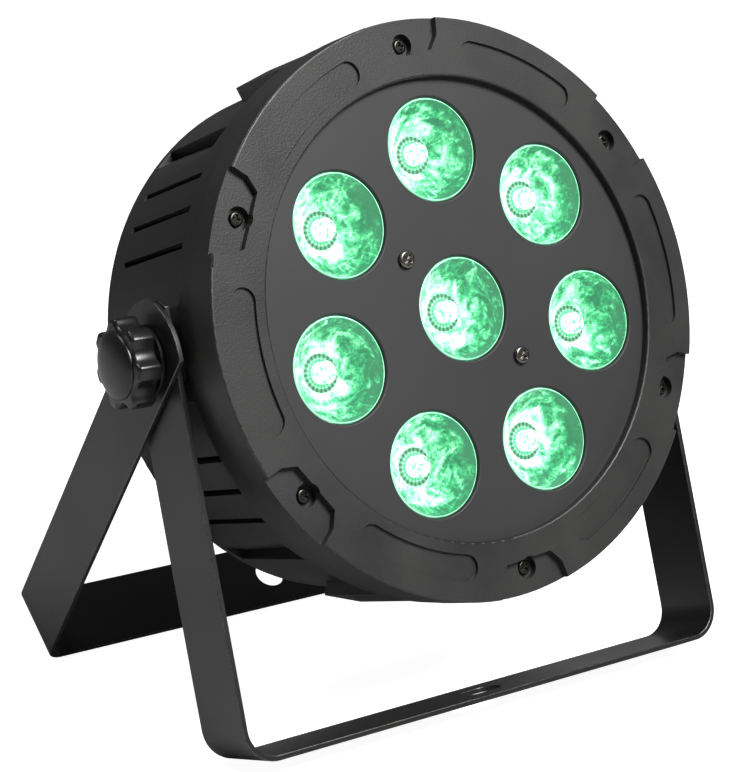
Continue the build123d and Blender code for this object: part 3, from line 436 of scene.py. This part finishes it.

# ---- Brackets ----
# Two U-shaped brackets, one inside the other, bent from 2 mm steel strip and powder coated satin black.
# The coat has a faint orange peel and thins at the cut edges. Their rounded edges get a paler metal finish:
# partly that thin coat, partly a painted highlight for the pale line of light they catch.
coat, tree, shader, place = new_finish("steel_satin_black_powder_coat", 0.4)
peel = add(tree, "ShaderNodeTexNoise", {}, {"Vector": place, "Scale": 1 / (1.4 * mm), "Detail": 2.0})
drift = add(tree, "ShaderNodeTexNoise", {}, {"Vector": place, "Scale": 18.0, "Detail": 3.0})
tone = ramp(tree, drift.outputs["Fac"], [(0.3, "#090a09"), (0.7, "#0e0f0e")])
tree.links.new(tone, shader.inputs["Base Color"])
gloss = add(tree, "ShaderNodeMapRange", {}, {"Value": drift.outputs["Fac"], "To Min": 0.34, "To Max": 0.48})
tree.links.new(gloss.outputs["Result"], shader.inputs["Roughness"])
skin = add(tree, "ShaderNodeBump", {},
           {"Strength": 0.35, "Distance": 0.02 * mm, "Height": peel.outputs["Fac"]})
tree.links.new(skin.outputs["Normal"], shader.inputs["Normal"])
# The paler edge metal is partly thin coat and partly a painted highlight along every cut edge.
edge_coat_and_painted_highlight = plated_steel("steel_edge_thin_coat_and_painted_highlight", "#3a3a38", "#6d6c69", 0.36, scratch=1.5)
for node in ("front_bracket", "rear_bracket"):
    moulding(node, coat, 0.3, segments=3, rim=edge_coat_and_painted_highlight)

# ---- Knobs ----
# Seven-lobed star knobs moulded in glass-filled nylon over a steel stud, with a smooth shallow dome on
# the face. The skin is semi-matt, so each lobe carries one broad soft highlight.
knob_radius, lobes, valley_radius, valley_reach = 17.0, 7, 6.0, 20.0
hub_radius, hub_length, dome_radius, dome_height = 9.5, 2.0, 12.6, 3.2
star_round, foot_round, hub_round, sunk_in, dome_edge = 1.8, 0.8, 0.6, 1.0, 0.2
star_segments, round_segments, dome_angle = 210, 96, 6
knob_nylon = moulded_plastic("nylon_glass_filled_moulding", "#070707", "#0c0c0c", 0.5, 0.02, 0.3, spread=0.08)


def lobe_reach(turn):
    """Radius of the star at an angle, cut by the nearest round valley."""
    pitch = 2 * pi / lobes
    off = (turn + pitch / 2) % pitch - pitch / 2
    side = valley_reach * sin(off)
    if abs(side) >= valley_radius:
        return knob_radius
    return min(knob_radius, valley_reach * cos(off) - (valley_radius ** 2 - side ** 2) ** 0.5)


def make_knob(node, side):
    """Raise a star from a ring of points, round its face, and turn a hub and a dome onto it."""
    low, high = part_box(node)
    base = min(abs(low.x), abs(high.x)) / mm
    top = max(abs(low.x), abs(high.x)) / mm - dome_height
    shape = bmesh.new()
    ring = bmesh.ops.create_circle(shape, cap_ends=True, segments=star_segments, radius=knob_radius)["verts"]
    for vert in ring:
        turn = atan2(vert.co.y, vert.co.x)
        reach = lobe_reach(turn)
        vert.co = (reach * cos(turn), reach * sin(turn), base + hub_length)
    for _ in range(3):
        bmesh.ops.smooth_vert(shape, verts=ring, factor=0.5, use_axis_x=True, use_axis_y=True)
    lifted = bmesh.ops.extrude_face_region(shape, geom=shape.faces[:])["geom"]
    tops = [item for item in lifted if isinstance(item, bmesh.types.BMVert)]
    bmesh.ops.translate(shape, verts=tops, vec=(0, 0, top - base - hub_length))
    for height, offset, steps in ((top, star_round, 5), (base + hub_length, foot_round, 3)):
        rim = [edge for edge in shape.edges if all(abs(v.co.z - height) < slack for v in edge.verts)]
        bmesh.ops.bevel(shape, geom=rim, offset=offset, offset_type="OFFSET", affect="EDGES", segments=steps,
                        profile=0.5, material=-1, clamp_overlap=True)
    hub = [(hub_radius - hub_round, base), (hub_radius, base + hub_round),
           (hub_radius, base + hub_length + sunk_in)]
    dome = [(dome_radius, top - sunk_in), (dome_radius, top + dome_edge)]
    dome += [(dome_radius * cos(radians(a)), top + dome_edge + (dome_height - dome_edge) * sin(radians(a)))
             for a in range(dome_angle, 90, dome_angle)]
    dome.append((0, top + dome_height))
    for outline in (hub, dome):
        chain = [shape.verts.new((radius, 0, height)) for radius, height in outline]
        edges = [shape.edges.new(pair) for pair in zip(chain, chain[1:])]
        bmesh.ops.spin(shape, geom=chain + edges, cent=(0, 0, 0), axis=(0, 0, 1), angle=2 * pi,
                       steps=round_segments, use_merge=True)
    turned = Matrix(((0, 0, side), (1, 0, 0), (0, side, 0))).to_4x4()
    place = Matrix.Translation((0, pivot.y, pivot.z)) @ turned @ Matrix.Scale(mm, 4)
    open_edges = [edge for edge in shape.edges if edge.is_boundary]
    bmesh.ops.holes_fill(shape, edges=open_edges, sides=0)
    piece = settle(shape, node + "_star", [knob_nylon], place, smooth=40)
    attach(piece, nodes[node]["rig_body"])
    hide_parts(node)


for node, side in (("left_knob", -1), ("right_knob", 1)):
    make_knob(node, side)

# ---- Studs and washers ----
# Each knob's stud is black-oxide steel. It runs through a steel washer, both brackets and a fibre friction
# washer into a brass insert. The oxide is a deep grey with an oily sheen.
black_oxide = plated_steel("steel_black_oxide", "#2c2c2e", "#48484a", 0.38)
brass = plated_steel("brass_machined", "#9c7f3f", "#c9ab63", 0.3)
for node in ("left_knob_washer", "right_knob_washer"):
    moulding(node, black_oxide, 0.2)
dress(["left_knob_stud", "right_knob_stud"], black_oxide)
dress(["pivot_inserts"], brass)
dress(["friction_washers"],
      moulded_plastic("fibre_black_pressed_washer", "#0c0c0c", "#191817", 0.6, 0.05, 0.75))

# ---- Rear cover ----
# A moulded ABS disc closes the drum, held by six screws, with a slotted grille on both sides. It carries
# the panel window, the keys and the sockets.
moulding("rear_cover", abs_fine, 0.25)

# ---- Panel window and keys ----
# The window is smoked acrylic over the display, a dark gloss with wiped smears. The keys are matt
# silicone-coated ABS caps, a little paler than the cover, so that they can be found.
smoked, tree, shader, place = new_finish("acrylic_smoked_window", 0.08, IOR=1.49, Coat_Weight=0.4)
smears = add(tree, "ShaderNodeTexNoise", {}, {"Vector": place, "Scale": 90.0, "Detail": 4.0})
tone = ramp(tree, smears.outputs["Fac"], [(0.3, "#050607"), (0.7, "#0c0e10")])
tree.links.new(tone, shader.inputs["Base Color"])
wiped = add(tree, "ShaderNodeMapRange", {}, {"Value": smears.outputs["Fac"], "To Min": 0.05, "To Max": 0.16})
tree.links.new(wiped.outputs["Result"], shader.inputs["Roughness"])
moulding("display_window", smoked, 0.2)
key_plastic = moulded_plastic("abs_key_cap_moulding", "#2c2c2d", "#3b3b3c", 0.5, 0.03, 0.55)
for node in numbered("menu_button", 4):
    moulding(node, key_plastic, 0.12)

# ---- Sockets ----
# Control sockets are glass-filled polyamide, a dull dark grey, with gold-washed pins and a zinc latch that
# glint. The mains inlet and the fuse holder are phenolic, a little glossier, with pale nickel-plated blades.
polyamide = moulded_plastic("polyamide_socket_moulding", "#151515", "#202021", 0.45, 0.03, 0.42)
phenolic = moulded_plastic("phenolic_inlet_moulding", "#0f0f10", "#19191a", 0.7, 0.02, 0.3)
gold = plated_steel("brass_gold_washed_pin", "#c79a4a", "#e3c07a", 0.22)
nickel = plated_steel("brass_nickel_plated_blade", "#b9b5a8", "#dedacd", 0.22)
for node in ("dmx_inlet", "dmx_outlet"):
    moulding(node, polyamide, 0.2)
for node in ("mains_inlet", "fuse_holder", "fuse_cap"):
    moulding(node, phenolic, 0.2)
moulding("dmx_inlet_pins", gold, 0)
moulding("mains_inlet_pins", nickel, 0.3)
moulding("outlet_latch", bright_zinc, 0.15)

# ---- Safety eye ----
# A bent rod eye with a pressed foot, for the safety cable. Its bright zinc plate is the one shiny spot on
# the back.
moulding("safety_eye", bright_zinc, 0)

# ---- Boards and heat sink ----
# Behind the lenses: an aluminium-core board with a white mask, eight emitters, a grey extruded heat sink,
# and two glass-epoxy boards in green mask with paler tracks. The transformer's tape is brown and the
# capacitor sleeves are blue.


def masked_board(name, mask, track, line):
    """Solder mask over etched copper: slightly raised tracks show as paler lanes under a wet gloss."""
    material, tree, shader, place = new_finish(name, 0.3)
    lanes = add(tree, "ShaderNodeTexBrick", {},
                {"Vector": place, "Scale": 1 / (line * mm), "Mortar Size": 0.12, "Color1": linear(mask),
                 "Color2": linear(mask), "Mortar": linear(track)})
    tree.links.new(lanes.outputs["Color"], shader.inputs["Base Color"])
    raised = add(tree, "ShaderNodeBump", {}, {"Strength": 0.4, "Distance": 0.05 * mm,
                                              "Height": lanes.outputs["Fac"]})
    tree.links.new(raised.outputs["Normal"], shader.inputs["Normal"])
    return material


dress(["led_board"], masked_board("aluminium_core_board_white_mask", "#d8dad4", "#c4c7be", 6.0))
dress(["driver_board", "control_board"],
      masked_board("glass_epoxy_board_green_mask", "#14462a", "#2a6b45", 3.0))
dress(["heat_sink"], plated_steel("aluminium_extruded_mill_finish", "#a7a9ab", "#c6c8c9", 0.4, scratch=1.2))
dress(["plate_standoffs"], bright_zinc)
dress(["led_emitters"], moulded_plastic("ceramic_emitter_package", "#d9d6c4", "#f0eee2", 0.4, 0.01, 0.35))
dress(["transformer"], moulded_plastic("steel_lamination_and_tape", "#5a4a1c", "#8b7634", 1.2, 0.05, 0.5))
dress(["capacitors"], moulded_plastic("pvc_shrink_sleeve", "#12233c", "#1f3a5e", 1.0, 0.02, 0.35))
dress(["display_module"], moulded_plastic("epoxy_display_module", "#1a1212", "#2a1c1c", 0.8, 0.02, 0.3))

# ---- Studio ----
# A wide pale sweep under soft light: a large panel high in front, a weak one behind on the left and a low
# even surround, so that black plastic shows its form by reflections.
floor_half = 14.0
shape = bmesh.new()
bmesh.ops.create_grid(shape, x_segments=1, y_segments=1, size=floor_half)
paper, tree, shader, place = new_finish("paper_matt_white_sweep", 0.9, Specular_IOR_Level=0.1)
tone = add(tree, "ShaderNodeTexNoise", {}, {"Vector": place, "Scale": 3.0, "Detail": 2.0})
shade = ramp(tree, tone.outputs["Fac"], [(0.3, "#b4b4b4"), (0.7, "#bababa")])
tree.links.new(shade, shader.inputs["Base Color"])
seen = add(tree, "ShaderNodeLightPath", {}, {}).outputs["Is Camera Ray"]
glow = add(tree, "ShaderNodeMath", {"operation": "MULTIPLY"}, {0: seen, 1: 0.95})
shader.inputs["Emission Color"].default_value = (1.0, 1.0, 1.0, 1.0)
tree.links.new(glow.outputs["Value"], shader.inputs["Emission Strength"])
settle(shape, "floor", [paper])

scene = bpy.context.scene
world = bpy.data.worlds.new("studio")
world.use_nodes = True
world.node_tree.nodes["Background"].inputs["Color"].default_value = (1.0, 1.0, 1.0, 1.0)
world.node_tree.nodes["Background"].inputs["Strength"].default_value = 0.13
scene.world = world
scene.view_settings.view_transform = "Standard"


def light_panel(name, spot, aim, size, power):
    """A square soft panel at a spot, turned to face another."""
    lamp = bpy.data.lights.new(name, "AREA")
    lamp.shape = "SQUARE"
    lamp.size = size
    lamp.energy = power
    item = bpy.data.objects.new(name, lamp)
    item.location = spot
    item.rotation_euler = (Vector(aim) - Vector(spot)).to_track_quat("-Z", "Y").to_euler()
    scene.collection.objects.link(item)


light_panel("key_panel", (0.3, -1.35, 1.7), (0, 0, 0.15), 0.9, 88)
light_panel("rim_panel", (-0.75, 0.45, 1.6), (0, 0, 0.15), 0.6, 9)

camera = bpy.data.objects.new("camera", bpy.data.cameras.new("camera"))
camera.data.lens = 98.35
camera.data.sensor_width = 36.0
camera.location = pivot + Vector((-0.4750, -0.6489, 0.1824))
camera.rotation_euler = Vector((0.5573, 0.7912, -0.2518)).to_track_quat("-Z", "Y").to_euler()
camera.data.clip_start = 0.01
scene.collection.objects.link(camera)
scene.camera = camera
